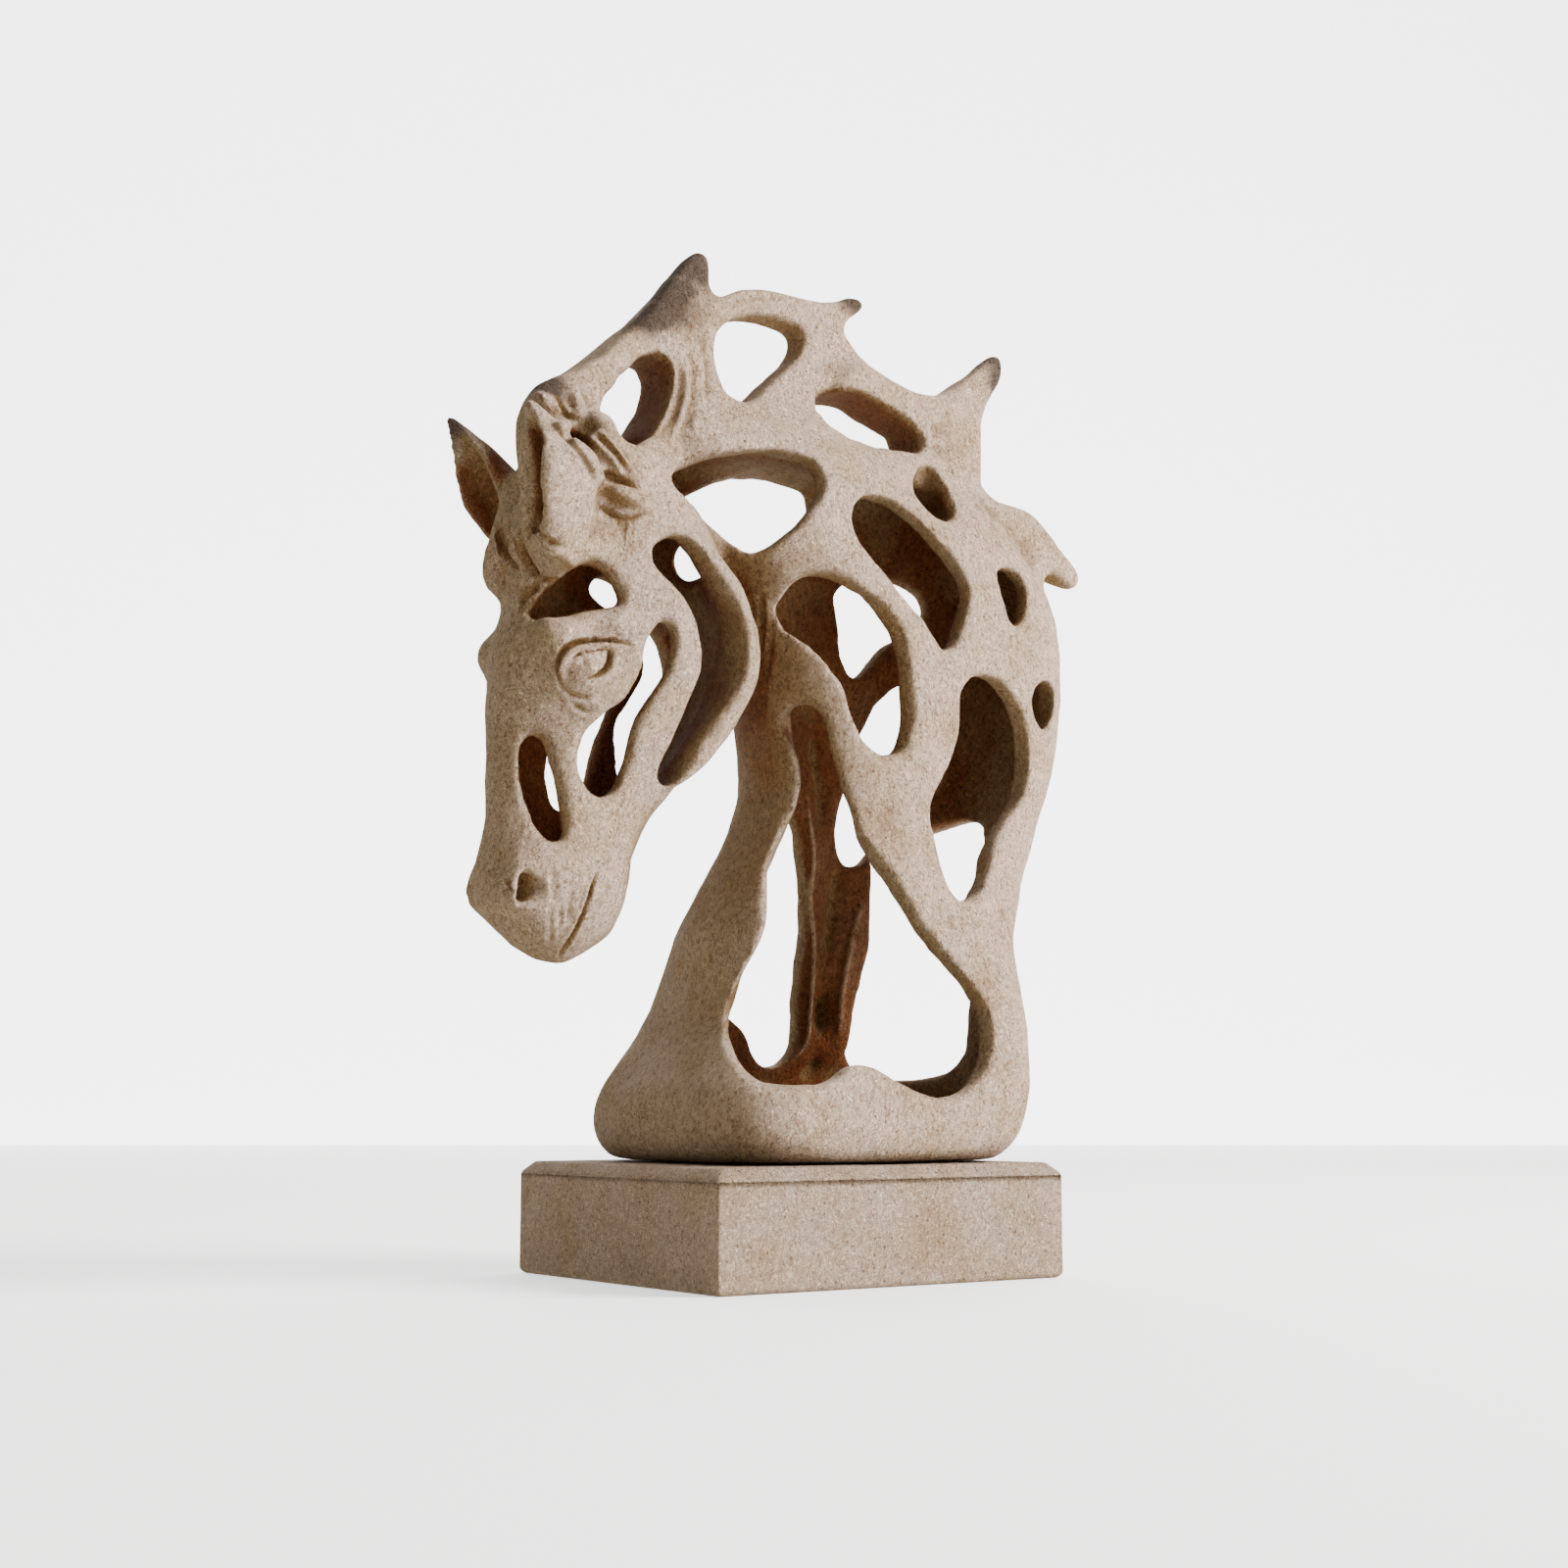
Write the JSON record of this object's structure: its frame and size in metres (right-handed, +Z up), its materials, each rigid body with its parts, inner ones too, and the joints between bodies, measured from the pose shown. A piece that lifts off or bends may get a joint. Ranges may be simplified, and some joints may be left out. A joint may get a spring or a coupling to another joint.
{
  "type": "horse head sculpture",
  "caption": "Openwork horse head and neck sculpture, a hollow cast shell pierced all over, standing on a rectangular plinth.",
  "frame": {"origin": "centre of the plinth's underside", "axes": "+Z up, -X the way the horse looks, -Y the side that the picture shows more of"},
  "size_m": [0.3127, 0.15, 0.4264],
  "materials": {
    "cast_stone": "matt sandstone finish, pitted, with brown wash in the recesses",
    "plinth_stone": "matt sandstone finish, finely pitted"
  },
  "bodies": {
    "root": {"horse": "cast_stone", "plinth": "plinth_stone"}
  },
  "joints": []
}
